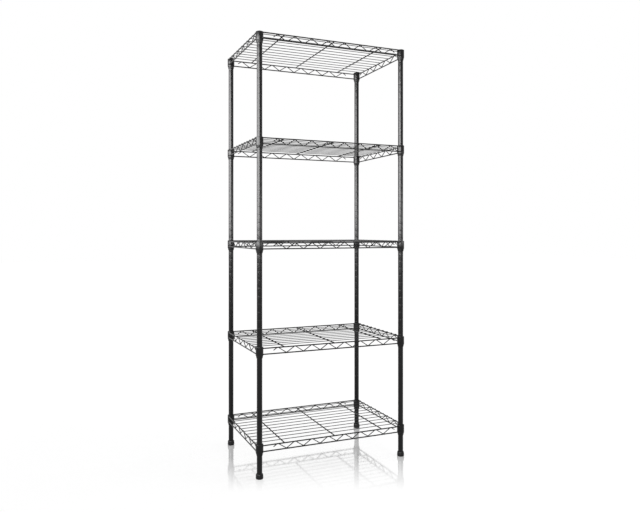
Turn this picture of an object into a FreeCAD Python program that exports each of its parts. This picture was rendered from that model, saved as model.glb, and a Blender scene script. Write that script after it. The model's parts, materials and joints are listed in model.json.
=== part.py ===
import FreeCAD, Part
import math
import os
import Sketcher
from FreeCAD import Placement, Rotation, Vector

# Wire shelving unit: four round posts, and five welded wire shelves that wedge onto tapered split sleeves.
# Small pieces that repeat are drawn with flats, which keeps the whole light. Millimetres, +Z up, the front
# towards -Y, and the origin on the floor midway between the feet.

SIZES = {
    # places of the posts and heights of the shelves
    "post_span_x": 515.5,  # post axis to post axis, left to right
    "post_span_y": 320.5,  # post axis to post axis, front to back
    "groove_pitch": 25.4,
    "shelf_1_level": 108.5,  # top of the lowest sleeves above the floor
    "lower_bay": 12,  # pitches from shelf 1 to shelf 2
    "upper_bay": 13,  # pitches between each two shelves above
    # two-piece tubular posts
    "post_dia": 17.5,
    "post_wall": 1,
    "lower_post_length": 672.4,
    # threaded pieces inside the posts
    "stud_sides": 8,
    "stud_dia": 8,
    "stud_gap": 0.1,  # radial room around a stud
    "press_gap": 0.05,  # radial room around what is pressed into a tube
    "nut_length": 24,
    "joint_stud_length": 44,
    "levelling_stud_reach": 34,  # above the top of the foot
    # levelling feet and post caps
    "foot_height": 15.5,
    "foot_step": 2,  # of the foot's shoulder outside the post
    "foot_flare": 1.25,  # of its base outside its shoulder
    "foot_edge": 1.2,  # chamfer round its base
    "foot_socket_depth": 10,
    "cap_height": 1,
    "cap_edge": 0.5,  # bevel on the cap's rim
    "cap_plug_length": 14,
    # tapered split sleeves and the collars on them; rings of flats, with their walls measured at the flats
    "ring_sides": 16,
    "sleeve_length": 36,
    "sleeve_proud": 0.5,  # above the collar
    "sleeve_lip": 8.5,  # below the collar
    "sleeve_gap": 0.1,  # radial room around the post
    "sleeve_wall_top": 1.6,  # at the collar's upper edge
    "sleeve_wall_foot": 2.4,  # at the collar's lower edge
    "sleeve_wall_end": 0.85,  # at the end of the lip
    "split_gap": 0.7,  # between the two halves of a sleeve
    "seat_gap": 0.05,  # radial room between collar and sleeve
    "collar_wall": 0.95,  # at its lower edge
    # shelf wires; a wire is a many-sided bar, and its size is across the flats
    "stout_wire_sides": 8,
    "thin_wire_sides": 6,
    "weld_gap": 0.05,  # between a rim's end and the collar it is welded to
    "rim_dia": 4,
    "rim_inset": 0.75,  # of a rim's outer side from the collar's
    "upper_rim_drop": 3.2,  # collar's upper edge to the rim's axis
    "lower_rim_rise": 5.2,  # collar's lower edge to the rim's axis
    "truss_dia": 2.8,
    "truss_inset": 0.6,  # of the bends from the rims' axes
    "truss_peaks_x": 8,
    "truss_peaks_y": 5,
    "truss_end_x": 51.25,  # post axis to the nearest peak of a centred zigzag, on the long sides
    "truss_end_y": 42.25,  # the same on the short sides
    "truss_shift": 8,  # of each zigzag to the right, seen from outside
    "cross_wire_dia": 3.8,
    "cross_wire_step": 3,  # truss waves from the middle cross wire to the outer ones
    "deck_wire_dia": 2.3,
    "deck_wire_count": 11,
    "deck_margin": 3,  # collar's side to the outermost deck wire's axis
    "deck_overhang": 1,  # of the deck wires past the short rims' axes
}

X_AXIS = Vector(1, 0, 0)
Y_AXIS = Vector(0, 1, 0)
Z_AXIS = Vector(0, 0, 1)
ALONG_X = Rotation(Y_AXIS, 90)
ALONG_Y = Rotation(X_AXIS, -90)

CORNERS = {
    "front_left": (-1, -1),
    "front_right": (1, -1),
    "back_left": (-1, 1),
    "back_right": (1, 1),
}

doc = FreeCAD.newDocument("WireShelvingUnit")
sheet = doc.addObject("Spreadsheet::Sheet", "Sizes")
for row, (alias, value) in enumerate(SIZES.items(), start=1):
    sheet.set(f"A{row}", alias)
    sheet.set(f"B{row}", str(value))
    sheet.setAlias(f"B{row}", alias)
doc.recompute()

nodes = []


def bind(thing, expressions):
    """Ties properties of an object to the sheet."""
    for path, expression in expressions.items():
        thing.setExpression(path, expression)
    return thing


def origin_part(body, role):
    """One of a body's own origin planes or axes."""
    return next(part for part in body.Origin.OriginFeatures if part.Role == role)


def profile_sketch(body, name, points):
    """A closed outline of straight lines on the XZ plane, with each corner's radius and height tied to the sheet."""
    sketch = body.newObject("Sketcher::SketchObject", name)
    sketch.AttachmentSupport = [(origin_part(body, "XZ_Plane"), "")]
    sketch.MapMode = "FlatFace"
    count = len(points)
    # the corners start on a circle, so that no two coincide before the sizes move them
    start = [Vector(9 + 5 * math.cos(2 * math.pi * i / count), 5 * math.sin(2 * math.pi * i / count), 0)
             for i in range(count)]
    for i in range(count):
        sketch.addGeometry(Part.LineSegment(start[i], start[(i + 1) % count]))
    for i in range(count):
        sketch.addConstraint(Sketcher.Constraint("Coincident", i, 2, (i + 1) % count, 1))
    for i, (radius, height) in enumerate(points):
        for kind, expression, axis in (("DistanceX", radius, -2), ("DistanceY", height, -1)):
            if expression == "0":
                sketch.addConstraint(Sketcher.Constraint("PointOnObject", i, 1, axis))
                continue
            index = sketch.addConstraint(Sketcher.Constraint(kind, -1, 1, i, 1, 1.0))
            sketch.renameConstraint(index, f"{kind}{i}")
            sketch.setExpression(f"Constraints.{kind}{i}", expression)
    return sketch


def turned_body(name, points):
    """A body turned from its half section about the Z axis."""
    body = doc.addObject("PartDesign::Body", name)
    sketch = profile_sketch(body, f"{name}_profile", points)
    turn = body.newObject("PartDesign::Revolution", f"{name}_turn")
    turn.Profile = sketch
    turn.ReferenceAxis = (sketch, ["V_Axis"])
    turn.Angle = 360
    doc.recompute()
    return body


def ring_block(name, radius, height, z="0"):
    """An upright block with a ring of flats at this radius."""
    block = doc.addObject("Part::Prism", name)
    block.Placement = Placement(Vector(), Rotation(Z_AXIS, 180 / sheet.get("ring_sides")))
    return bind(block, {
        "Polygon": "Sizes.ring_sides",
        "Circumradius": f"({radius}) / cos(180 / Sizes.ring_sides)",
        "Height": height,
        ".Placement.Base.z": z,
    })


def leaning_block(name, radius, height, lean, z="0", flip=0):
    """A block whose ring of flats has this radius at its base and leans in from there; a flip of 180 hangs it."""
    body = doc.addObject("PartDesign::Body", name)
    block = body.newObject("PartDesign::AdditivePrism", f"{name}_block")
    block.Placement = Placement(Vector(), Rotation(Z_AXIS, 180 / sheet.get("ring_sides")))
    bind(block, {
        "Polygon": "Sizes.ring_sides",
        "Circumradius": f"({radius}) / cos(180 / Sizes.ring_sides)",
        "Height": height,
    })
    doc.recompute()
    draft = body.newObject("PartDesign::Draft", f"{name}_lean")
    upright = [f"Face{i}" for i, face in enumerate(block.Shape.Faces, start=1) if abs(face.normalAt(0, 0).z) < 0.5]
    draft.Base = (block, upright)
    draft.NeutralPlane = (origin_part(body, "XY_Plane"), [""])
    draft.PullDirection = (origin_part(body, "Z_Axis"), [""])
    bind(draft, {"Angle": lean})
    body.Tip = draft
    body.Placement = Placement(Vector(), Rotation(X_AXIS, flip))
    bind(body, {".Placement.Base.z": z})
    doc.recompute()
    return body


def cut(name, base, tool):
    """An object less another."""
    rest = doc.addObject("Part::Cut", name)
    rest.Base = base
    rest.Tool = tool
    return rest


def fuse(name, parts):
    """Several objects joined in one solid."""
    whole = doc.addObject("Part::MultiFuse", name)
    whole.Shapes = parts
    whole.Refine = True
    return whole


def compound(name, parts):
    """Several solids that stay separate, kept as one object."""
    group = doc.addObject("Part::Compound", name)
    group.Links = parts
    return group


def placed(name, source, x="0", y="0", z="0", turn=0):
    """A copy of an object at a place that is tied to the sheet."""
    copy = compound(name, [source])
    copy.Placement = Placement(Vector(), Rotation(Z_AXIS, turn))
    return bind(copy, {".Placement.Base.x": x, ".Placement.Base.y": y, ".Placement.Base.z": z})


def node(name, source, x="0", y="0", z="0"):
    """A sub-part that is handed over under this name."""
    part = placed(name, source, x, y, z)
    part.Label = name
    nodes.append(part)
    return part


def with_mirror(name, source, normal):
    """An object and its mirror image across a plane through the origin."""
    image = doc.addObject("Part::Mirroring", f"{name}_image")
    image.Source = source
    image.Normal = normal
    return compound(name, [source, image])


def at_four_corners(name, source):
    """An object made on the Z axis, repeated at the four posts."""
    corner = placed(f"{name}_corner", source, x="Sizes.post_span_x / 2", y="Sizes.post_span_y / 2")
    pair = with_mirror(f"{name}_pair", corner, X_AXIS)
    return with_mirror(name, pair, Y_AXIS)


def wire(name, along, diameter, sides, length, x="0", y="0", z="0"):
    """A straight wire centred on x, y, z: a bar with flats at its top, bottom and sides."""
    bar = doc.addObject("Part::Prism", name)
    flats_to_axes = Rotation(Z_AXIS, 180 / sheet.get(sides))
    bar.Placement = Placement(Vector(), along.multiply(flats_to_axes))
    run = along.multVec(Z_AXIS)
    middle = {"x": x, "y": y, "z": z}
    for axis, share in (("x", run.x), ("y", run.y)):
        if abs(share) > 0.5:
            middle[axis] = f"{middle[axis]} - ({length}) / 2"
    return bind(bar, {
        "Polygon": f"Sizes.{sides}",
        "Circumradius": f"{diameter} / 2 / cos(180 / Sizes.{sides})",
        "Height": length,
        ".Placement.Base.x": middle["x"],
        ".Placement.Base.y": middle["y"],
        ".Placement.Base.z": middle["z"],
    })


# Heights of the five shelves' sleeve tops above the floor.
LEVELS = ["Sizes.shelf_1_level"]
for bay in ("lower_bay", "upper_bay", "upper_bay", "upper_bay"):
    LEVELS.append(f"{LEVELS[-1]} + Sizes.{bay} * Sizes.groove_pitch")
POST_TOP = LEVELS[-1]
SEAM = "Sizes.foot_height + Sizes.lower_post_length"
POST_X = "Sizes.post_span_x / 2"
POST_Y = "Sizes.post_span_y / 2"
TUBE_BORE = "Sizes.post_dia / 2 - Sizes.post_wall"

# The fit of collar on sleeve on post, from the inside outwards, and the collar's place below the sleeve's top.
SLEEVE_BORE = "Sizes.post_dia / 2 + Sizes.sleeve_gap"
WEDGE_RADIUS = f"{SLEEVE_BORE} + Sizes.sleeve_wall_foot"
COLLAR_BORE = f"{WEDGE_RADIUS} + Sizes.seat_gap"
COLLAR_RADIUS = f"({COLLAR_BORE} + Sizes.collar_wall)"
COLLAR_BOTTOM = "Sizes.sleeve_lip - Sizes.sleeve_length"
COLLAR_LENGTH = "Sizes.sleeve_length - Sizes.sleeve_lip - Sizes.sleeve_proud"
COLLAR_LEAN = f"atan((Sizes.sleeve_wall_foot - Sizes.sleeve_wall_top) / ({COLLAR_LENGTH}))"


# Post sections: round steel tube.
def post_section(name, length):
    return turned_body(name, [
        (TUBE_BORE, "0"),
        ("Sizes.post_dia / 2", "0"),
        ("Sizes.post_dia / 2", length),
        (TUBE_BORE, length),
    ])


lower_post = post_section("lower_post", "Sizes.lower_post_length")
upper_post = post_section("upper_post", f"{POST_TOP} - ({SEAM})")


# Threaded nuts pressed into the tube ends, and the studs that screw into them.
def stud_block(name, radius, height):
    block = doc.addObject("Part::Prism", name)
    return bind(block, {"Polygon": "Sizes.stud_sides", "Circumradius": radius, "Height": height})


pressed_nut = cut(
    "pressed_nut",
    stud_block("nut_block", f"{TUBE_BORE} - Sizes.press_gap", "Sizes.nut_length"),
    stud_block("nut_bore", "Sizes.stud_dia / 2 + Sizes.stud_gap", "Sizes.nut_length"))
joint_stud = stud_block("joint_stud", "Sizes.stud_dia / 2", "Sizes.joint_stud_length")
levelling_stud = stud_block(
    "levelling_stud", "Sizes.stud_dia / 2", "Sizes.foot_socket_depth + Sizes.levelling_stud_reach")

# Moulded levelling foot: it flares towards the floor, and holds the stud in a blind socket.
FOOT_RADIUS = "Sizes.post_dia / 2 + Sizes.foot_step + Sizes.foot_flare"
foot_base = leaning_block("foot_base", FOOT_RADIUS, "Sizes.foot_edge", "45", "Sizes.foot_edge", flip=180)
foot_flare = leaning_block(
    "foot_flare", FOOT_RADIUS, "Sizes.foot_height - Sizes.foot_edge",
    "atan(Sizes.foot_flare / (Sizes.foot_height - Sizes.foot_edge))", "Sizes.foot_edge")
foot_socket = ring_block(
    "foot_socket", "Sizes.stud_dia / 2 + Sizes.stud_gap", "Sizes.foot_socket_depth",
    "Sizes.foot_height - Sizes.foot_socket_depth")
levelling_foot = cut("levelling_foot", fuse("foot_blank", [foot_base, foot_flare]), foot_socket)

# Push-in cap: a bevelled head as wide as the post, on a plug that fits the tube.
cap_head = leaning_block(
    "cap_head", "Sizes.post_dia / 2", "Sizes.cap_height", "atan(Sizes.cap_edge / Sizes.cap_height)")
cap_plug = stud_block("cap_plug", f"{TUBE_BORE} - Sizes.press_gap", "Sizes.cap_plug_length")
bind(cap_plug, {".Placement.Base.z": "-Sizes.cap_plug_length"})
post_cap = fuse("post_cap", [cap_head, cap_plug])

# Split sleeve, its top at height 0: the wedge that the collar settles on, and a lip that tapers in below
# the collar, parted into two halves that close round the post.
sleeve_wedge = leaning_block(
    "sleeve_wedge", WEDGE_RADIUS, "Sizes.sleeve_length - Sizes.sleeve_lip", COLLAR_LEAN, COLLAR_BOTTOM)
sleeve_lip = leaning_block(
    "sleeve_lip", WEDGE_RADIUS, "Sizes.sleeve_lip",
    "atan((Sizes.sleeve_wall_foot - Sizes.sleeve_wall_end) / Sizes.sleeve_lip)", COLLAR_BOTTOM, flip=180)
sleeve_bore = ring_block("sleeve_bore", SLEEVE_BORE, "Sizes.sleeve_length", "-Sizes.sleeve_length")
split = doc.addObject("Part::Box", "split")
bind(split, {
    "Length": "Sizes.split_gap",
    "Width": f"2 * {COLLAR_RADIUS}",
    "Height": "Sizes.sleeve_length",
    ".Placement.Base.x": "-Sizes.split_gap / 2",
    ".Placement.Base.y": f"-{COLLAR_RADIUS}",
    ".Placement.Base.z": "-Sizes.sleeve_length",
})
split_sleeve = cut(
    "split_sleeve", fuse("sleeve_blank", [sleeve_wedge, sleeve_lip]), fuse("sleeve_opening", [sleeve_bore, split]))
sleeve_set = at_four_corners("sleeve_set", split_sleeve)

# Corner collar: a short tube, straight outside, with a bore that widens downwards like the sleeve.
collar = cut(
    "collar",
    ring_block("collar_block", COLLAR_RADIUS, COLLAR_LENGTH, COLLAR_BOTTOM),
    leaning_block("collar_bore", COLLAR_BORE, COLLAR_LENGTH, COLLAR_LEAN, COLLAR_BOTTOM))
collar_set = at_four_corners("collar_set", collar)

# Rim wires: an upper and a lower one on each side, their ends shaped to the collars.
rim_seat = ring_block(
    "rim_seat", f"{COLLAR_RADIUS} + Sizes.weld_gap", "Sizes.sleeve_length", "-Sizes.sleeve_length")
rim_seats = at_four_corners("rim_seats", rim_seat)
RIM_OFFSET = f"({COLLAR_RADIUS} - Sizes.rim_inset - Sizes.rim_dia / 2)"
UPPER_RIM = "-Sizes.sleeve_proud - Sizes.upper_rim_drop"
LOWER_RIM = f"{COLLAR_BOTTOM} + Sizes.lower_rim_rise"
LONG_RIM_Y = f"-Sizes.post_span_y / 2 - {RIM_OFFSET}"
SHORT_RIM_X = f"-Sizes.post_span_x / 2 - {RIM_OFFSET}"


def rim_wire(name, along, length, x, y, z):
    return cut(name, wire(f"{name}_bar", along, "Sizes.rim_dia", "stout_wire_sides", length, x, y, z), rim_seats)


rim_pairs = []
for rim, height in (("upper", UPPER_RIM), ("lower", LOWER_RIM)):
    long_rim = rim_wire(f"{rim}_long_rim", ALONG_X, "Sizes.post_span_x", "0", LONG_RIM_Y, height)
    short_rim = rim_wire(f"{rim}_short_rim", ALONG_Y, "Sizes.post_span_y", SHORT_RIM_X, "0", height)
    rim_pairs.append(with_mirror(f"{rim}_long_rims", long_rim, Y_AXIS))
    rim_pairs.append(with_mirror(f"{rim}_short_rims", short_rim, X_AXIS))
rim_set = compound("rim_set", rim_pairs)


# Truss wires: one zigzag on each side, flat against the inner side of both rims. Its two tails come
# half-way down from the last peaks and end there.
def truss_wire(name, span, end, peaks):
    count = int(sheet.get(peaks))
    wave = (sheet.get(span) - 2 * sheet.get(end)) / (count - 1)
    high = sheet.evalExpression(f"{UPPER_RIM} - Sizes.truss_inset")
    low = sheet.evalExpression(f"{LOWER_RIM} + Sizes.truss_inset")
    first_peak = -wave * (count - 1) / 2
    tail = Vector(first_peak - wave / 4, 0, (high + low) / 2)
    route = [tail]
    for peak in range(count):
        route.append(Vector(first_peak + peak * wave, 0, high))
        if peak < count - 1:
            route.append(Vector(first_peak + (peak + 0.5) * wave, 0, low))
    route.append(Vector(-tail.x, 0, tail.z))
    path = doc.addObject("Part::Polygon", f"{name}_path")
    path.Nodes = route
    section = doc.addObject("Part::RegularPolygon", f"{name}_section")
    bind(section, {
        "Polygon": "Sizes.thin_wire_sides",
        "Circumradius": "Sizes.truss_dia / 2 / cos(180 / Sizes.thin_wire_sides)",
    })
    slope = math.degrees(math.atan2(high - tail.z, first_peak - tail.x))
    section.Placement = Placement(tail, Rotation(Y_AXIS, 90 - slope))
    zigzag = doc.addObject("Part::Sweep", name)
    zigzag.Sections = [section]
    zigzag.Spine = (path, [f"Edge{i + 1}" for i in range(len(route) - 1)])
    zigzag.Solid = True
    zigzag.Frenet = False
    zigzag.Transition = "Right corner"
    return zigzag


TRUSS_OFFSET = f"{RIM_OFFSET} - Sizes.rim_dia / 2 - Sizes.truss_dia / 2"
LONG_TRUSS_Y = f"(Sizes.post_span_y / 2 + {TRUSS_OFFSET})"
SHORT_TRUSS_X = f"(Sizes.post_span_x / 2 + {TRUSS_OFFSET})"
long_zigzag = truss_wire("long_zigzag", "post_span_x", "truss_end_x", "truss_peaks_x")
short_zigzag = truss_wire("short_zigzag", "post_span_y", "truss_end_y", "truss_peaks_y")
truss_set = compound("truss_set", [
    placed("front_truss", long_zigzag, x="Sizes.truss_shift", y=f"-{LONG_TRUSS_Y}"),
    placed("back_truss", long_zigzag, x="-Sizes.truss_shift", y=LONG_TRUSS_Y, turn=180),
    placed("left_truss", short_zigzag, x=f"-{SHORT_TRUSS_X}", y="-Sizes.truss_shift", turn=-90),
    placed("right_truss", short_zigzag, x=SHORT_TRUSS_X, y="Sizes.truss_shift", turn=90),
])

# Cross wires: front to back between the long upper rims, three waves of the trusses apart.
WAVE_X = "(Sizes.post_span_x - 2 * Sizes.truss_end_x) / (Sizes.truss_peaks_x - 1)"
RIM_TOP = f"{UPPER_RIM} + Sizes.rim_dia / 2"


def cross_wire(name, x):
    length = f"Sizes.post_span_y + 2 * {RIM_OFFSET} - Sizes.rim_dia"
    height = f"{RIM_TOP} - Sizes.cross_wire_dia / 2"
    return wire(name, ALONG_Y, "Sizes.cross_wire_dia", "stout_wire_sides", length, x, "0", height)


outer_cross_wire = cross_wire("outer_cross_wire", f"Sizes.cross_wire_step * {WAVE_X}")
cross_wire_set = compound("cross_wire_set", [
    cross_wire("middle_cross_wire", "0"),
    with_mirror("outer_cross_wires", outer_cross_wire, X_AXIS),
])


# Deck wires: an even row of thin wires lying on the short upper rims and the cross wires.
def deck_wire_row():
    body = doc.addObject("PartDesign::Body", "deck_wire_row")
    first = body.newObject("PartDesign::AdditivePrism", "deck_wire")
    flats_to_axes = Rotation(Z_AXIS, 180 / sheet.get("thin_wire_sides"))
    first.Placement = Placement(Vector(), ALONG_X.multiply(flats_to_axes))
    half_length = f"Sizes.post_span_x / 2 + {RIM_OFFSET} + Sizes.deck_overhang"
    margin = f"({COLLAR_RADIUS} + Sizes.deck_margin)"
    bind(first, {
        "Polygon": "Sizes.thin_wire_sides",
        "Circumradius": "Sizes.deck_wire_dia / 2 / cos(180 / Sizes.thin_wire_sides)",
        "Height": f"2 * ({half_length})",
        ".Placement.Base.x": f"-({half_length})",
        ".Placement.Base.y": f"{margin} - Sizes.post_span_y / 2",
        ".Placement.Base.z": f"{RIM_TOP} + Sizes.deck_wire_dia / 2",
    })
    doc.recompute()
    rest = body.newObject("PartDesign::LinearPattern", "deck_wires")
    rest.Originals = [first]
    rest.Direction = (origin_part(body, "Y_Axis"), [""])
    bind(rest, {
        "Length": f"Sizes.post_span_y - 2 * {margin}",
        "Occurrences": "Sizes.deck_wire_count",
    })
    body.Tip = rest
    doc.recompute()
    return body


deck_wire_set = deck_wire_row()

# The nodes of each shelf and its sleeves, at the shelf's height.
for number, level in enumerate(LEVELS, start=1):
    node(f"shelf_{number}_collars", collar_set, z=level)
    node(f"shelf_{number}_rim_wires", rim_set, z=level)
    node(f"shelf_{number}_truss_wires", truss_set, z=level)
    node(f"shelf_{number}_cross_wires", cross_wire_set, z=level)
    node(f"shelf_{number}_deck_wires", deck_wire_set, z=level)
    node(f"shelf_{number}_split_sleeves", sleeve_set, z=level)

# The nodes of each post and its levelling foot.
for corner, (side, depth) in CORNERS.items():
    at = {"x": f"{side} * {POST_X}", "y": f"{depth} * {POST_Y}"}
    node(f"{corner}_lower_post", lower_post, z="Sizes.foot_height", **at)
    node(f"{corner}_upper_post", upper_post, z=SEAM, **at)
    node(f"{corner}_levelling_stud", levelling_stud, z="Sizes.foot_height - Sizes.foot_socket_depth", **at)
    node(f"{corner}_levelling_foot", levelling_foot, **at)

# Pieces of one kind that share a node.
joint_nut_pair = compound("joint_nut_pair", [
    placed("nut_below_seam", pressed_nut, z=f"{SEAM} - Sizes.nut_length"),
    placed("nut_above_seam", pressed_nut, z=SEAM),
])
node("joint_nuts", at_four_corners("joint_nut_set", joint_nut_pair))
node("joint_studs", at_four_corners("joint_stud_set", joint_stud), z=f"{SEAM} - Sizes.joint_stud_length / 2")
node("foot_nuts", at_four_corners("foot_nut_set", pressed_nut), z="Sizes.foot_height")
node("post_caps", at_four_corners("post_cap_set", post_cap), z=POST_TOP)

doc.recompute()

for thing in doc.Objects:
    faults = [state for state in thing.State if state in ("Invalid", "Error")]
    if faults:
        raise RuntimeError(f"{thing.Label} is {faults[0]}")
for part in nodes:
    if part.Shape.isNull() or not part.Shape.isValid() or not part.Shape.Solids:
        raise RuntimeError(f"{part.Label} has no valid solid")

os.makedirs("parts", exist_ok=True)
for part in nodes:
    part.Shape.exportStep(f"parts/{part.Label}.step")
box = Part.makeCompound([part.Shape for part in nodes]).BoundBox
print(f"{len(nodes)} nodes, {sum(len(part.Shape.Solids) for part in nodes)} solids")
print(f"overall {box.XLength:.1f} x {box.YLength:.1f} x {box.ZLength:.1f} mm")
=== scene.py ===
import json
import math
import random

import bmesh
import bpy
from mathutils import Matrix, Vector

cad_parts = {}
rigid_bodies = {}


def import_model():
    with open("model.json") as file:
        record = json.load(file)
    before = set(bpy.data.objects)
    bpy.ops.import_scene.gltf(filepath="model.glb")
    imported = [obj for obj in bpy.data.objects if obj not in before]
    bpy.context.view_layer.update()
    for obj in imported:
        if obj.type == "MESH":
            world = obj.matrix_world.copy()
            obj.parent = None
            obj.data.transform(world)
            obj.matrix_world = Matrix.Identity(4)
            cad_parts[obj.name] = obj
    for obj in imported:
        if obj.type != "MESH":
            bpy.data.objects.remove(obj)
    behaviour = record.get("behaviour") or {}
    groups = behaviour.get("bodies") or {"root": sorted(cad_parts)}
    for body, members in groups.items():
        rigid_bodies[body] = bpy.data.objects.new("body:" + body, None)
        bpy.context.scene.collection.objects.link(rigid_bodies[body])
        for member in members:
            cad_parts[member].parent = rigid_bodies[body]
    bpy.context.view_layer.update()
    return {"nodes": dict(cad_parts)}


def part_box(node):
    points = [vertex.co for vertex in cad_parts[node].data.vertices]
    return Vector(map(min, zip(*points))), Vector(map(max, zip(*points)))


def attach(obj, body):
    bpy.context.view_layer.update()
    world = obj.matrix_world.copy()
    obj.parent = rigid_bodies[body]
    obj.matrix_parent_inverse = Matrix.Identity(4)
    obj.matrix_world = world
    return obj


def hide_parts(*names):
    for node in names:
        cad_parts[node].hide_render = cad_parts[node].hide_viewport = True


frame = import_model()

# LEVELLING FEET
# Four moulded feet of black plastic with a fine spark-eroded grain. Each flares to a hem at the floor, holds
# the lower end of its stud in a blind socket, and carries the end of its post on its flat top.
MM = 0.001  # sizes are in millimetres from here on, and the shapes are made in metres
CORNERS = ("front_left", "front_right", "back_left", "back_right")
LONGEST_EASING = 0.45  # share of a side that the rounding of one of its corners may take
JET_BLACK = (0.004, 0.004, 0.0043)
SOFT_BLACK = (0.008, 0.008, 0.0084)


class Shape:
    """The points and faces of one piece while it is being made."""

    def __init__(self):
        self.points = []
        self.faces = []

    def point(self, x, y, z):
        self.points.append((x * MM, y * MM, z * MM))
        return len(self.points) - 1

    def face(self, *corners):
        corners = list(dict.fromkeys(corners))
        if len(corners) > 2:
            self.faces.append(corners)

    def skin(self, rings, closed=True):
        """Covers the space from each ring of points to the next. Open rings leave out their last side."""
        around = len(rings[0])
        for ring, following in zip(rings, rings[1:]):
            for i in range(around if closed else around - 1):
                beside = (i + 1) % around
                self.face(ring[i], ring[beside], following[beside], following[i])

    def piece(self, name, body, node, slot, finish, crease=35):
        """Makes the object, which rides on a body in place of a node."""
        mesh = bpy.data.meshes.new(name)
        mesh.from_pydata(self.points, [], self.faces)
        sides = bmesh.new()
        sides.from_mesh(mesh)
        bmesh.ops.recalc_face_normals(sides, faces=sides.faces)
        sides.to_mesh(mesh)
        sides.free()
        mesh.materials.append(finish)
        mesh.shade_smooth()
        mesh.set_sharp_from_angle(angle=math.radians(crease))
        made = bpy.data.objects.new(name, mesh)
        bpy.context.scene.collection.objects.link(made)
        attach(made, body)
        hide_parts(node)


def eased(corners, steps=4):
    """A closed outline from corners of (radius, height, easing), each rounded over its easing."""
    outline = []
    for i, (radius, height, easing) in enumerate(corners):
        corner = Vector((radius, height))
        if not easing:
            outline.append(corner)
            continue
        before = Vector(corners[i - 1][:2]) - corner
        after = Vector(corners[(i + 1) % len(corners)][:2]) - corner
        reach = min(easing, LONGEST_EASING * before.length, LONGEST_EASING * after.length)
        start = corner + reach * before.normalized()
        end = corner + reach * after.normalized()
        for step in range(steps + 1):
            share = step / steps
            outline.append(start.lerp(corner, share).lerp(corner.lerp(end, share), share))
    return outline


def turned(shape, outline, x, y, lift=0.0, sides=48, arc=(0, 360)):
    """Turns a closed outline about the upright line through x, y. A part turn gets flat ends."""
    whole = arc[1] - arc[0] == 360
    stations = sides if whole else sides + 1
    rings = []
    for radius, height in outline:
        if radius < 1e-6:
            rings.append([shape.point(x, y, height + lift)] * stations)
            continue
        ring = []
        for station in range(stations):
            angle = math.radians(arc[0] + (arc[1] - arc[0]) * station / sides)
            ring.append(shape.point(
                x + radius * math.cos(angle), y + radius * math.sin(angle), height + lift))
        rings.append(ring)
    shape.skin(rings + rings[:1], whole)
    if not whole:
        shape.face(*(ring[0] for ring in rings))
        shape.face(*(ring[-1] for ring in rings))


def axis_of(node):
    """Where the upright axis of a round CAD node stands."""
    low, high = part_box(node)
    return (low.x + high.x) / 2 / MM, (low.y + high.y) / 2 / MM


class Shade:
    """A socket in a finish. Arithmetic on it adds Math nodes, and node() adds a node of any kind."""

    def __init__(self, tree, socket=None):
        self.tree = tree
        self.socket = socket

    def node(self, kind, settings=None, sockets=None, out=0):
        made = self.tree.nodes.new(kind)
        for setting, value in (settings or {}).items():
            setattr(made, setting, value)
        for place, value in (sockets or {}).items():
            if isinstance(value, Shade):
                self.tree.links.new(value.socket, made.inputs[place])
            else:
                made.inputs[place].default_value = value
        return Shade(self.tree, made.outputs[out] if made.outputs else None)

    def maths(self, operation, first, second):
        return self.node("ShaderNodeMath", {"operation": operation}, {0: first, 1: second})

    def __add__(self, other):
        return self.maths("ADD", self, other)

    def __mul__(self, other):
        return self.maths("MULTIPLY", self, other)

    __radd__ = __add__
    __rmul__ = __mul__


def new_finish(name):
    """An empty material, and the start of its nodes."""
    material = bpy.data.materials.new(name)
    material.use_nodes = True
    material.node_tree.nodes.clear()
    return material, Shade(material.node_tree)


def mottle(where, waves_per_metre, detail):
    """Soft blotches from 0 to 1 over a surface."""
    return where.node(
        "ShaderNodeTexNoise", None,
        {"Vector": where, "Scale": waves_per_metre, "Detail": detail, "Roughness": 0.55})


def between(amount, first, second):
    """A colour from first to second."""
    return amount.node(
        "ShaderNodeMix", {"data_type": "RGBA"}, {0: amount, 6: (*first, 1), 7: (*second, 1)}, out=2)


moulded_plastic, start = new_finish("moulded_plastic")
where = start.node("ShaderNodeTexCoord", out="Object")
grain = mottle(where, 2400, 1.0)
flow = mottle(where, 60, 3.0)
start.node("ShaderNodeOutputMaterial", None, {"Surface": start.node("ShaderNodeBsdfPrincipled", None, {
    "Base Color": between(flow, JET_BLACK, SOFT_BLACK),
    "Roughness": 0.38 + 0.10 * flow + 0.08 * grain,
    "Specular IOR Level": 0.16,
    "Normal": start.node("ShaderNodeBump", None, {"Strength": 0.3, "Distance": 0.00005, "Height": grain}),
})})

FOOT_HEIGHT = 15.5
SOCKET_RADIUS = 4.15
SOCKET_FLOOR = 5.5
HOLLOW = 0.7  # under the foot, so that it stands on its rim
FOOT = eased([
    (0, HOLLOW, 0), (6.0, HOLLOW, 0.3), (6.6, 0, 0.4), (11.7, 0, 1.4), (12, 3.6, 1.6), (11.85, 7.2, 1.6),
    (11.2, 13.8, 2.0), (10.2, FOOT_HEIGHT, 0.8), (SOCKET_RADIUS, FOOT_HEIGHT, 0.4),
    (SOCKET_RADIUS, SOCKET_FLOOR, 0.3), (0, SOCKET_FLOOR, 0),
])
for corner in CORNERS:
    foot = Shape()
    turned(foot, FOOT, *axis_of(f"{corner}_levelling_foot"))
    foot.piece(
        f"{corner}_foot_moulding", f"{corner}_foot", f"{corner}_levelling_foot", "black_plastic",
        moulded_plastic)

# LEVELLING STUDS
# Four M8 studs of zinc-plated steel with a rolled thread of 1.25 mm pitch. The foot is fixed on the lower
# end, and the rest screws up into the nut in the post.
STUD_RADIUS = 4.0
THREAD_PITCH = 1.25
THREAD_DEPTH = 0.62
FLANK_SLOPE = 1.3  # over 1 leaves the crest flat
ROOT_FLAT = 0.1
CHAMFER_TURNS = 0.8  # of the thread, at each end

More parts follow.
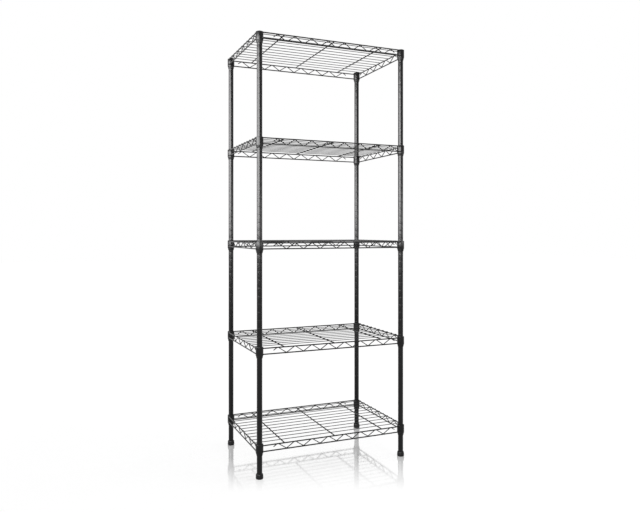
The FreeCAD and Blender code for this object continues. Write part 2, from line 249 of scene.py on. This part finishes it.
zinc_plate, start = new_finish("zinc_plate")
where = start.node("ShaderNodeTexCoord", out="Object")
bloom = mottle(where, 180, 3.0)
start.node("ShaderNodeOutputMaterial", None, {"Surface": start.node("ShaderNodeBsdfPrincipled", None, {
    "Base Color": between(bloom, (0.50, 0.52, 0.55), (0.68, 0.67, 0.62)),
    "Metallic": 1.0,
    "Roughness": 0.24 + 0.2 * bloom,
    "Normal": start.node("ShaderNodeBump", None, {"Strength": 0.2, "Distance": 0.00003, "Height": bloom}),
})})


def threaded(shape, x, y, low, high, sides=18, steps=6):
    """A right-hand threaded rod with chamfered ends."""
    count = round((high - low) / THREAD_PITCH * steps)
    rings = []
    for i in range(count + 1):
        height = low + (high - low) * i / count
        chamfer = min(1.0, min(i, count - i) / steps / CHAMFER_TURNS)
        ring = []
        for side in range(sides):
            turns = side / sides
            flank = abs(2 * ((height / THREAD_PITCH - turns) % 1) - 1)
            crest = min(1.0, max(0.0, FLANK_SLOPE * flank - ROOT_FLAT)) * chamfer
            radius = STUD_RADIUS - THREAD_DEPTH * (1 - crest)
            angle = 2 * math.pi * turns
            ring.append(shape.point(x + radius * math.cos(angle), y + radius * math.sin(angle), height))
        rings.append(ring)
    shape.skin(rings)
    shape.face(*rings[0])
    shape.face(*rings[-1])


for corner in CORNERS:
    low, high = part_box(f"{corner}_levelling_stud")
    stud = Shape()
    threaded(stud, *axis_of(f"{corner}_levelling_stud"), low.z / MM, high.z / MM)
    stud.piece(
        f"{corner}_foot_screw", f"{corner}_stud", f"{corner}_levelling_stud", "zinc_steel", zinc_plate, 60)

# FOOT NUTS
# Four zinc-plated steel nuts, turned round with a straight knurl, pressed into the lower ends of the posts to
# take the levelling studs.
NUT_BORE = 4.1
NUT_RADIUS = 7.7
NUT_LENGTH = 24
NUT = eased([
    (NUT_BORE, 0, 0.5), (NUT_RADIUS, 0, 0.7), (NUT_RADIUS, NUT_LENGTH, 0.7), (NUT_BORE, NUT_LENGTH, 0.5)], 2)
KNURL_RIDGES = 40
KNURL_DEPTH = 0.2
KNURLED_BEYOND = 7  # from the axis

foot_nuts = Shape()
nut_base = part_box("foot_nuts")[0].z / MM
for corner in CORNERS:
    x, y = axis_of(f"{corner}_lower_post")
    first = len(foot_nuts.points)
    turned(foot_nuts, NUT, x, y, nut_base, 2 * KNURL_RIDGES)
    for i in range(first, len(foot_nuts.points)):
        across = Vector(foot_nuts.points[i][:2]) / MM - Vector((x, y))
        if across.length > KNURLED_BEYOND and i % 2:
            across *= 1 - KNURL_DEPTH / across.length
            foot_nuts.points[i] = ((x + across.x) * MM, (y + across.y) * MM, foot_nuts.points[i][2])
foot_nuts.piece("foot_nut_inserts", "frame", "foot_nuts", "zinc_steel", zinc_plate)

# POSTS
# Four posts of round steel tube, each in two sections that meet in a fine seam, with ring grooves rolled in
# at every inch for the sleeves to grip. They are powder coated in semi-gloss black after rolling.
POST_RADIUS = 8.75
BORE_RADIUS = 7.75
BEVEL_IN, BEVEL_UP = 0.25, 0.3  # at a tube's ends
GROOVE_PITCH = 25.4
GROOVE_BELOW_LEVEL = 17.25  # the groove that a sleeve grips, below the sleeve's top
GROOVE_MARGIN = 5  # left plain at a tube's ends
GROOVE = (  # height from the groove's middle, and depth
    (-0.9, 0), (-0.65, 0.01), (-0.4, 0.04), (-0.2, 0.085), (0, 0.1), (0.2, 0.085), (0.4, 0.04), (0.65, 0.01),
    (0.9, 0),
)

powder_coat, start = new_finish("powder_coat")
where = start.node("ShaderNodeTexCoord", out="Object")
peel = mottle(where, 520, 1.5)
speckle = mottle(where, 3200, 1.0)
film = mottle(where, 14, 3.0)
start.node("ShaderNodeOutputMaterial", None, {"Surface": start.node("ShaderNodeBsdfPrincipled", None, {
    "Base Color": between(film, JET_BLACK, SOFT_BLACK),
    "Roughness": 0.17 + 0.06 * film + 0.03 * speckle,
    "Specular IOR Level": 0.2,
    "Normal": start.node(
        "ShaderNodeBump", None, {"Strength": 0.1, "Distance": 0.00001, "Height": 0.8 * peel + 0.2 * speckle}),
})})


def post_outline(low, high, first_groove):
    """The half section of a tube, grooved on its outside."""
    rim = POST_RADIUS - BEVEL_IN
    outline = [Vector((BORE_RADIUS, low)), Vector((rim, low)), Vector((POST_RADIUS, low + BEVEL_UP))]
    height = first_groove + GROOVE_PITCH * math.ceil((low + GROOVE_MARGIN - first_groove) / GROOVE_PITCH)
    while height < high - GROOVE_MARGIN:
        outline += [Vector((POST_RADIUS - depth, height + rise)) for rise, depth in GROOVE]
        height += GROOVE_PITCH
    outline += [Vector((POST_RADIUS, high - BEVEL_UP)), Vector((rim, high)), Vector((BORE_RADIUS, high))]
    return outline


def shelf_level(shelf):
    """The top of a shelf's sleeves, from which the heights of its pieces are measured."""
    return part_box(f"shelf_{shelf}_split_sleeves")[1].z / MM


first_groove = shelf_level(1) - GROOVE_BELOW_LEVEL
for corner in CORNERS:
    for section in ("lower", "upper"):
        node = f"{corner}_{section}_post"
        low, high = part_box(node)
        post = Shape()
        turned(post, post_outline(low.z / MM, high.z / MM, first_groove), *axis_of(node), sides=36)
        post.piece(f"{corner}_{section}_tube", "frame", node, "coated_steel", powder_coat)

# JOINT NUTS AND STUDS
# Zinc-plated nuts pressed into the tubes at the seam, and the studs that screw the two sections of a post
# together. They are out of sight inside the posts.
for node in ("joint_nuts", "joint_studs"):
    hidden = frame["nodes"][node].data
    hidden.materials.clear()
    hidden.materials.append(zinc_plate)

# POST CAPS
# Four push-in caps moulded of black plastic. Each is a shallow dome as wide as the post, on a plug that grips
# the bore.
DOME_RADIUS = 8.7
PLUG_RADIUS = 7.7
PLUG_LENGTH = 14
CAP = eased([
    (0, 1.0, 0), (6.5, 0.97, 1.5), (DOME_RADIUS, 0.75, 0.5), (DOME_RADIUS, 0, 0), (PLUG_RADIUS, 0, 0),
    (PLUG_RADIUS, -13.2, 0.3), (7.2, -PLUG_LENGTH, 0.3), (0, -PLUG_LENGTH, 0),
])
post_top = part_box("front_left_upper_post")[1].z / MM
caps = Shape()
for corner in CORNERS:
    turned(caps, CAP, *axis_of(f"{corner}_upper_post"), post_top)
caps.piece("post_cap_domes", "frame", "post_caps", "black_plastic", moulded_plastic)

# SPLIT SLEEVES
# A black plastic wedge under each collar, moulded as two halves that close round the post with a narrow gap
# at the front and back. It widens downwards inside the collar, and a lip tapers in again below.
SHELVES = range(1, 6)  # counted from the floor
SLEEVE_BORE = 8.85
SLEEVE_LENGTH = 36
SLEEVE = eased([
    (SLEEVE_BORE, 0, 0.2), (10.43, 0, 0.3), (11.22, -26.9, 0.2), (11.25, -27.8, 0.3),
    (9.7, -SLEEVE_LENGTH, 0.5), (SLEEVE_BORE, -SLEEVE_LENGTH, 0.2),
], 3)
HALF_GAP = 2.0  # degrees
for shelf in SHELVES:
    node = f"shelf_{shelf}_split_sleeves"
    sleeves = Shape()
    for corner in CORNERS:
        for middle in (0, 180):
            arc = (middle - 90 + HALF_GAP, middle + 90 - HALF_GAP)
            turned(sleeves, SLEEVE, *axis_of(f"{corner}_lower_post"), shelf_level(shelf), 22, arc)
    sleeves.piece(f"shelf_{shelf}_sleeve_halves", "frame", node, "black_plastic", moulded_plastic)

# COLLARS
# A short steel tube at each corner of a shelf, bored to the taper of the sleeve, with its edges rolled smooth
# and coated with the shelf. The shelf's weight pulls it down over the wedge.
COLLAR_RADIUS = 12.25
COLLAR_TOP = -0.5
COLLAR_BOTTOM = -27.5
COLLAR = eased([
    (10.5, COLLAR_TOP, 0.3), (COLLAR_RADIUS, COLLAR_TOP, 0.7), (COLLAR_RADIUS, COLLAR_BOTTOM, 0.6),
    (11.3, COLLAR_BOTTOM, 0.25),
])
for shelf in SHELVES:
    collars = Shape()
    for corner in CORNERS:
        turned(collars, COLLAR, *axis_of(f"{corner}_lower_post"), shelf_level(shelf))
    collars.piece(
        f"shelf_{shelf}_collar_tubes", f"shelf_{shelf}", f"shelf_{shelf}_collars", "coated_steel",
        powder_coat)

# RIM WIRES
# Two round steel wires along each side of a shelf, one above the other. Their ends are coped to the collars
# and welded there, with a bead of weld round each end.
RIM_RADIUS = 2.0
RIM_OFFSET = 9.5  # of a rim's axis outside the posts' axes
UPPER_RIM = -3.7
LOWER_RIM = -22.3
COPE_RADIUS = 11.9  # in the collar's wall
RIM_WELD = (1.15, 3.9, 2.75)  # half-axes: out of the collar, round it and upright
RIM_WELD_SPREAD = 0.08
WELD_SEED = 5
post_x, post_y = (abs(place) for place in axis_of("front_left_lower_post"))
random_size = random.Random(WELD_SEED)


def weld_size(spread):
    """The size of one weld against the usual one."""
    return random_size.uniform(1 - spread, 1 + spread)


def bead(shape, centre, half_axes, sides=8, rings=5):
    """A small smooth weld with these three half-axes."""
    turns = []
    for i in range(rings + 1):
        tilt = math.pi * i / rings
        ring = []
        for side in range(sides if 0 < i < rings else 1):
            angle = 2 * math.pi * side / sides
            place = Vector(centre) + math.sin(tilt) * math.cos(angle) * Vector(half_axes[0])
            place += math.sin(tilt) * math.sin(angle) * Vector(half_axes[1])
            place += math.cos(tilt) * Vector(half_axes[2])
            ring.append(shape.point(*place))
        turns.append(ring if len(ring) > 1 else ring * sides)
    shape.skin(turns)


def lying(lengthwise, along, across, height):
    """A point of a shelf from its places along and across a long or a short side."""
    return (along, across, height) if lengthwise else (across, along, height)


def coped_rim(shape, lengthwise, side, height, sides=14):
    """One rim wire between two collars, with its welds."""
    post_along, post_across = (post_x, post_y) if lengthwise else (post_y, post_x)
    rings = []
    for end in (-1, 1):
        ring = []
        for i in range(sides):
            angle = 2 * math.pi * i / sides
            offset = RIM_OFFSET + RIM_RADIUS * math.cos(angle)
            along = end * (post_along - math.sqrt(COPE_RADIUS ** 2 - offset ** 2))
            ring.append(shape.point(*lying(
                lengthwise, along, side * (post_across + offset), height + RIM_RADIUS * math.sin(angle))))
        rings.append(ring)
        shape.face(*ring)
        reach = math.sqrt(COLLAR_RADIUS ** 2 - RIM_OFFSET ** 2)
        outward = (-end * reach / COLLAR_RADIUS, side * RIM_OFFSET / COLLAR_RADIUS)
        size = weld_size(RIM_WELD_SPREAD)
        thick, wide, tall = (half_axis * size for half_axis in RIM_WELD)
        place = lying(lengthwise, end * (post_along - reach), side * (post_across + RIM_OFFSET), height)
        bead(shape, place, (
            lying(lengthwise, thick * outward[0], thick * outward[1], 0),
            lying(lengthwise, -wide * outward[1], wide * outward[0], 0),
            (0, 0, tall),
        ), 10, 6)
    shape.skin(rings)


for shelf in SHELVES:
    rims = Shape()
    for rim in (UPPER_RIM, LOWER_RIM):
        for lengthwise in (True, False):
            for side in (-1, 1):
                coped_rim(rims, lengthwise, side, shelf_level(shelf) + rim)
    rims.piece(
        f"shelf_{shelf}_rims", f"shelf_{shelf}", f"shelf_{shelf}_rim_wires", "coated_steel", powder_coat)

# ZIGZAGS
# A thinner steel wire on each side, bent to a zigzag in a jig and spot-welded at every bend to the inner
# sides of both rims. It stiffens the edge as a truss does. Its two tails stop short half-way down.
ZIGZAG_RADIUS = 1.4
ZIGZAG_OFFSET = RIM_OFFSET - RIM_RADIUS - ZIGZAG_RADIUS
ZIGZAG_WAVE = 59.0
ZIGZAG_SHIFT = 8.0  # to the right, seen from outside
ZIGZAG_PEAKS = {True: 8, False: 5}  # on a long side and on a short one
INSIDE_RIM = 0.6  # a bend's axis from the rim's, towards the other rim
PEAK = UPPER_RIM - INSIDE_RIM
VALLEY = LOWER_RIM + INSIDE_RIM
BEND = 3.4  # run of wire that is curved, each side of a bend
BEND_LOSS = BEND * math.sin(math.atan2(PEAK - VALLEY, ZIGZAG_WAVE / 2)) / 2
BEND_SHARES = (0, 0.2, 0.4, 0.6, 0.8, 1)
TRIMMED_END = ((0, 0.5), (0.12, 0.8), (0.4, 1))  # in radii: way from the end, and radius there
ZIGZAG_WELD = (2.3, 1.0, 1.25)  # half-axes: along the rim, across it and upright
ZIGZAG_WELD_RISE = 0.4  # from the bend, towards the rim's axis
ZIGZAG_WELD_SPREAD = 0.15


def drawn(shape, route, radius, flat, sides=10):
    """Round wire along a route that lies in one plane, with its two ends trimmed smooth."""
    flat = Vector(flat)
    route = [Vector(place) for place in route]
    stations = []
    for end, inner in ((0, 1), (-1, -2)):
        run = (route[inner] - route[end]).normalized()
        stations.append([(route[end] + share * radius * run, width * radius) for share, width in TRIMMED_END])
    line = stations[0] + [(place, radius) for place in route[1:-1]] + stations[1][::-1]
    rings = []
    for i, (place, width) in enumerate(line):
        run = (line[min(i + 1, len(line) - 1)][0] - line[max(i - 1, 0)][0]).normalized()
        beside = flat.cross(run)
        ring = []
        for side in range(sides):
            angle = 2 * math.pi * side / sides
            ring.append(shape.point(*(place + width * (math.cos(angle) * flat + math.sin(angle) * beside))))
        rings.append(ring)
    shape.skin(rings)
    shape.face(*rings[0])
    shape.face(*rings[-1])


def bent_route(peaks):
    """A zigzag's line as (along, height), with each bend rounded."""
    outermost = ZIGZAG_WAVE * (peaks - 1) / 2
    corners = [Vector((-outermost - ZIGZAG_WAVE / 4, (PEAK + VALLEY) / 2))]
    for i in range(2 * peaks - 1):
        corners.append(Vector((
            -outermost + i * ZIGZAG_WAVE / 2, VALLEY - BEND_LOSS if i % 2 else PEAK + BEND_LOSS)))
    corners.append(Vector((outermost + ZIGZAG_WAVE / 4, (PEAK + VALLEY) / 2)))
    route = [corners[0]]
    for before, corner, after in zip(corners, corners[1:], corners[2:]):
        start = corner + BEND * (before - corner).normalized()
        end = corner + BEND * (after - corner).normalized()
        for share in BEND_SHARES:
            route.append(start.lerp(corner, share).lerp(corner.lerp(end, share), share))
    route.append(corners[-1])
    return route


for shelf in SHELVES:
    level = shelf_level(shelf)
    zigzags = Shape()
    for lengthwise in (True, False):
        post_across = post_y if lengthwise else post_x
        peaks = ZIGZAG_PEAKS[lengthwise]
        for side in (-1, 1):
            across = side * (post_across + ZIGZAG_OFFSET)
            shift = ZIGZAG_SHIFT * (-side if lengthwise else side)
            route = [
                lying(lengthwise, along + shift, across, level + height)
                for along, height in bent_route(peaks)]
            drawn(zigzags, route, ZIGZAG_RADIUS, lying(lengthwise, 0, 1, 0))
            for i in range(2 * peaks - 1):
                size = weld_size(ZIGZAG_WELD_SPREAD)
                long, thick, tall = (half_axis * size for half_axis in ZIGZAG_WELD)
                along = ZIGZAG_WAVE / 2 * (i - peaks + 1) + shift
                height = level + (VALLEY - ZIGZAG_WELD_RISE if i % 2 else PEAK + ZIGZAG_WELD_RISE)
                bead(zigzags, lying(lengthwise, along, across + side * ZIGZAG_RADIUS, height), (
                    lying(lengthwise, long, 0, 0), lying(lengthwise, 0, thick, 0), (0, 0, tall)))
    zigzags.piece(
        f"shelf_{shelf}_zigzags", f"shelf_{shelf}", f"shelf_{shelf}_truss_wires", "coated_steel",
        powder_coat, 50)

# CROSS WIRES
# Three stout steel wires from front to back, butted and welded between the long upper rims. They carry the
# deck wires and are coated with the shelf.
UP = (0, 0, 1)
CROSS_RADIUS = 1.9
CROSS_HEIGHT = -3.6
CROSS_PLACES = (-177, 0, 177)
CROSS_SHORT = 0.6 * RIM_RADIUS  # of the rim's axis, so that the wire ends in the rim
CROSS_REACH = post_y + RIM_OFFSET - CROSS_SHORT
CROSS_WELD = (2.7, 1.3, 1.9)  # half-axes
CROSS_WELD_SPREAD = 0.1


def level_bead(shape, place, half_axes, spread):
    """A weld whose half-axes lie along, across and up the shelf."""
    size = weld_size(spread)
    x, y, z = (half_axis * size for half_axis in half_axes)
    bead(shape, place, ((x, 0, 0), (0, y, 0), (0, 0, z)))


for shelf in SHELVES:
    height = shelf_level(shelf) + CROSS_HEIGHT
    cross_wires = Shape()
    for x in CROSS_PLACES:
        route = [(x, -CROSS_REACH, height), (x, 0, height), (x, CROSS_REACH, height)]
        drawn(cross_wires, route, CROSS_RADIUS, UP, 14)
        for side in (-1, 1):
            place = (x, side * (post_y + RIM_OFFSET - RIM_RADIUS), height)
            level_bead(cross_wires, place, CROSS_WELD, CROSS_WELD_SPREAD)
    cross_wires.piece(
        f"shelf_{shelf}_cross_bars", f"shelf_{shelf}", f"shelf_{shelf}_cross_wires", "coated_steel",
        powder_coat)

# DECK WIRES
# Eleven thin straight steel wires along the shelf, spot-welded where they cross the cross wires and where
# they end on the short upper rims, a millimetre past the rim's axis.
DECK_RADIUS = 1.15
DECK_HEIGHT = -0.55
DECK_REACH = 268.25
DECK_STEP = 29.0
DECK_ROWS = range(-5, 6)
DECK_WELD = (1.7, 1.25, 0.75)  # half-axes
DECK_WELD_SPREAD = 0.15
DECK_WELD_PLACES = (-post_x - RIM_OFFSET, *CROSS_PLACES, post_x + RIM_OFFSET)
for shelf in SHELVES:
    height = shelf_level(shelf) + DECK_HEIGHT
    deck = Shape()
    for row in DECK_ROWS:
        y = row * DECK_STEP
        drawn(deck, [(-DECK_REACH, y, height), (0, y, height), (DECK_REACH, y, height)], DECK_RADIUS, UP, 12)
        for x in DECK_WELD_PLACES:
            level_bead(deck, (x, y, height - DECK_RADIUS), DECK_WELD, DECK_WELD_SPREAD)
    deck.piece(
        f"shelf_{shelf}_deck", f"shelf_{shelf}", f"shelf_{shelf}_deck_wires", "coated_steel", powder_coat)

# STUDIO
# A pale floor, polished where the unit stands and dull in front of it, in an even white surround. A softbox
# hangs overhead, and two wide strips, broad on the left and narrow on the right, show in the gloss of the
# upright pieces. The camera is level, a little above the middle of the unit.
FLOOR_HALF = 14  # metres, as all sizes here
FLOOR_DROP = 0.0002  # under the feet
floor_mesh = bpy.data.meshes.new("studio_floor")
floor_corners = [(x * FLOOR_HALF, y * FLOOR_HALF, 0) for x, y in ((-1, -1), (1, -1), (1, 1), (-1, 1))]
floor_mesh.from_pydata(floor_corners, [], [(0, 1, 2, 3)])
floor = bpy.data.objects.new("studio_floor", floor_mesh)
floor.location.z = -FLOOR_DROP
bpy.context.scene.collection.objects.link(floor)


def seen_directly(start):
    """1 for what the camera, a gloss or a clear piece sees, and 0 for light that is only scattered."""
    seen = start.node("ShaderNodeLightPath", out="Is Camera Ray")
    for ray in ("Is Glossy Ray", "Is Transmission Ray"):
        seen = seen.maths("MAXIMUM", seen, start.node("ShaderNodeLightPath", out=ray))
    return seen


def rising(place, low, high):
    """A value that goes from 0 to 1 between two places."""
    return place.node("ShaderNodeMapRange", None, {"Value": place, "From Min": low, "From Max": high})


AWAY_FROM_CAMERA = (0.371, 0.928, 0)
POLISH = 0.57
POLISH_BEGINS = (-0.34, -0.06)  # away from the camera
POLISH_ENDS = (0.8, 0.42)  # from the middle of the unit
GLOW_RISES = (1.0, 4.0)  # from the middle of the unit
pale_floor, start = new_finish("pale_floor")
where = start.node("ShaderNodeTexCoord", out="Object")
away = where.node("ShaderNodeVectorMath", {"operation": "LENGTH"}, {0: where}, out="Value")
backward = where.node(
    "ShaderNodeVectorMath", {"operation": "DOT_PRODUCT"}, {0: where, 1: AWAY_FROM_CAMERA}, out="Value")
matte = start.node("ShaderNodeBsdfDiffuse", None, {"Color": (0.42, 0.42, 0.42, 1)})
glow = start.node("ShaderNodeEmission", None, {
    "Color": between(rising(away, *GLOW_RISES), (0.69, 0.69, 0.69), (0.78, 0.78, 0.78))})
lit = start.node("ShaderNodeAddShader", None, {0: matte, 1: glow})
sheen = start.node("ShaderNodeBsdfAnisotropic", None, {"Color": (1, 1, 1, 1), "Roughness": 0.07})
polish = POLISH * rising(backward, *POLISH_BEGINS) * rising(away, *POLISH_ENDS)
polished = start.node("ShaderNodeMixShader", None, {0: polish, 1: lit, 2: sheen})
scattering = start.node("ShaderNodeBsdfDiffuse", None, {"Color": (0.8, 0.8, 0.8, 1)})
start.node("ShaderNodeOutputMaterial", None, {"Surface": start.node(
    "ShaderNodeMixShader", None, {0: seen_directly(start), 1: scattering, 2: polished})})
floor_mesh.materials.append(pale_floor)

SCATTERED_WHITE = 0.6  # of the surround, where it only lights the unit
surround = bpy.data.worlds.new("surround")
bpy.context.scene.world = surround
surround.use_nodes = True
surround.node_tree.nodes.clear()
start = Shade(surround.node_tree)
start.node("ShaderNodeOutputWorld", None, {"Surface": start.node("ShaderNodeBackground", None, {
    "Color": (1, 1, 1, 1), "Strength": SCATTERED_WHITE + (1 - SCATTERED_WHITE) * seen_directly(start)})})


def softbox(name, place, aim, width, height, watts):
    """A flat lamp of this width and height, which stands at a place and faces its aim."""
    lamp = bpy.data.lights.new(name, "AREA")
    lamp.shape = "RECTANGLE"
    lamp.size, lamp.size_y, lamp.energy = width, height, watts
    holder = bpy.data.objects.new(name, lamp)
    holder.location = place
    holder.rotation_euler = (Vector(aim) - Vector(place)).to_track_quat("-Z", "Y").to_euler()
    holder.visible_camera = False
    bpy.context.scene.collection.objects.link(holder)
    return holder


softbox("overhead_softbox", (0.9, -0.2, 2.7), (0, 0, 0.8), 1.6, 1.2, 24)
gloss_strips = (
    softbox("left_gloss_strip", (-1.525, -1.1, 1.31), (0.175, -0.652, 1.31), 3.72, 1.14, 299),
    softbox("right_gloss_strip", (1.1, -1.7, 0.87), (0, 0, 0.87), 3.6, 0.28, 20),
)
uprights = bpy.data.collections.new("uprights")
for piece in bpy.context.scene.objects:
    if piece.name.endswith(("_tube", "_collar_tubes", "_sleeve_halves", "_foot_moulding", "_cap_domes")):
        uprights.objects.link(piece)
# The strips show in the gloss of the uprights as windows would, without lighting the unit.
for strip in gloss_strips:
    strip.visible_diffuse = False
    strip.light_linking.receiver_collection = uprights

PICTURE_WIDTH, PICTURE_HEIGHT = 640, 512
FOCAL_PIXELS = 595.07
MIDDLE = (290, 231.28)  # pixel that the lens points at
SENSOR_WIDTH = 36  # millimetres
camera = bpy.data.objects.new("camera", bpy.data.cameras.new("camera"))
camera.location = (-0.8630, -1.9317, 0.7766)
camera.rotation_euler = (math.radians(90), 0, math.radians(-21.795))
camera.data.sensor_width = SENSOR_WIDTH
camera.data.lens = SENSOR_WIDTH * FOCAL_PIXELS / PICTURE_WIDTH
camera.data.shift_x = (PICTURE_WIDTH / 2 - MIDDLE[0]) / PICTURE_WIDTH
camera.data.shift_y = (MIDDLE[1] - PICTURE_HEIGHT / 2) / PICTURE_WIDTH
camera.data.clip_start, camera.data.clip_end = 0.05, 60
bpy.context.scene.collection.objects.link(camera)
bpy.context.scene.camera = camera
bpy.context.scene.view_settings.view_transform = "Standard"
